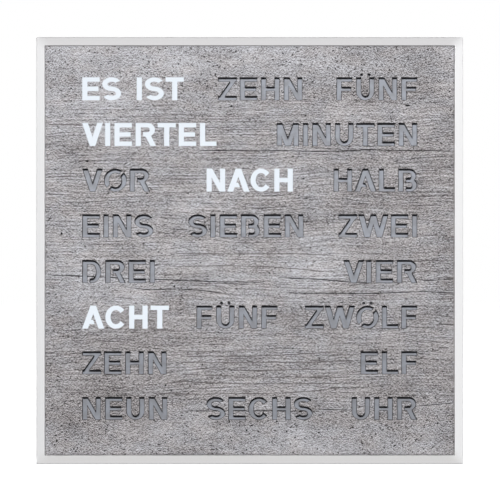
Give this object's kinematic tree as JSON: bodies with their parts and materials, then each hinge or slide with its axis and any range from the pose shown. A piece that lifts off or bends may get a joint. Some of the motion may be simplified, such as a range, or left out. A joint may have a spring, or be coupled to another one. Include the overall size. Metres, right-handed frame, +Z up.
{
  "type": "word clock",
  "caption": "Square wall clock whose stencilled stone face tells the time in words lit from behind, in a flat pale frame.",
  "frame": {"origin": "bottom centre of the bounding box, under the middle of the clock on the surface it stands on", "axes": "+X right as the face is read, +Y from the face to the wall, +Z up"},
  "size_m": [0.3, 0.0324, 0.3],
  "materials": {
    "frame_white": "fine matte, pale grey-white",
    "cast_stone": "board-marked grey concrete with small air holes",
    "diffuser": "frosted blue-grey",
    "baffle_black": "matte black",
    "lamp_lit": "lit cool white",
    "lamp_dark": "unlit, yellow phosphor",
    "board_white": "white solder mask",
    "board_green": "green solder mask",
    "zinc_steel": "zinc plated",
    "standoff_brass": "turned",
    "chip_black": "moulded epoxy",
    "crystal_can": "drawn can",
    "capacitor_can": "drawn can",
    "connector_black": "moulded",
    "contact_nickel": "nickel plated",
    "button_grey": "matte",
    "plunger_black": "matte",
    "cell_steel": "satin",
    "cover_grey": "fine moulded texture",
    "pad_rubber": "soft matte"
  },
  "bodies": {
    "clock": {"frame": "frame_white", "face_panel": "cast_stone", "diffuser_sheet": "diffuser", "light_baffle": "baffle_black", "lamps_of_lit_words": "lamp_lit", "lamps_of_dark_words": "lamp_dark", "lamp_board": "board_white", "lamp_board_screws": "zinc_steel", "control_board": "board_green", "board_standoffs": "standoff_brass", "control_board_screws": "zinc_steel", "microcontroller": "chip_black", "lamp_driver_chips": "chip_black", "quartz_crystal": "crystal_can", "smoothing_capacitors": "capacitor_can", "link_header": "connector_black", "power_inlet": "connector_black", "inlet_pin": "contact_nickel", "switch_bodies": "connector_black", "cell_holder": "connector_black", "backup_cell": "cell_steel", "cell_clip": "contact_nickel", "door_hinge_pin": "zinc_steel", "rear_cover": "cover_grey", "cover_screws": "zinc_steel", "hanger_plates": "zinc_steel", "hanger_screws": "zinc_steel", "wall_pads": "pad_rubber"},
    "hour_key": {"hour_button": "button_grey", "hour_plunger": "plunger_black"},
    "minute_key": {"minute_button": "button_grey", "minute_plunger": "plunger_black"},
    "brightness_key": {"brightness_button": "button_grey", "brightness_plunger": "plunger_black"},
    "battery_flap": {"battery_door": "cover_grey"}
  },
  "joints": [
    {"name": "hour_press", "type": "slide", "parent": "clock", "child": "hour_key", "axis": [0, -1, 0], "range_m": [0, 0.0005], "stiffness_N_per_m": 800},
    {"name": "minute_press", "type": "slide", "parent": "clock", "child": "minute_key", "axis": [0, -1, 0], "range_m": [0, 0.0005], "stiffness_N_per_m": 800},
    {"name": "brightness_press", "type": "slide", "parent": "clock", "child": "brightness_key", "axis": [0, -1, 0], "range_m": [0, 0.0005], "stiffness_N_per_m": 800},
    {"name": "battery_door_hinge", "type": "hinge", "parent": "clock", "child": "battery_flap", "pos_m": [-0.035, 0.01235, 0.095], "axis": [1, 0, 0], "range_deg": [0, 95]}
  ]
}
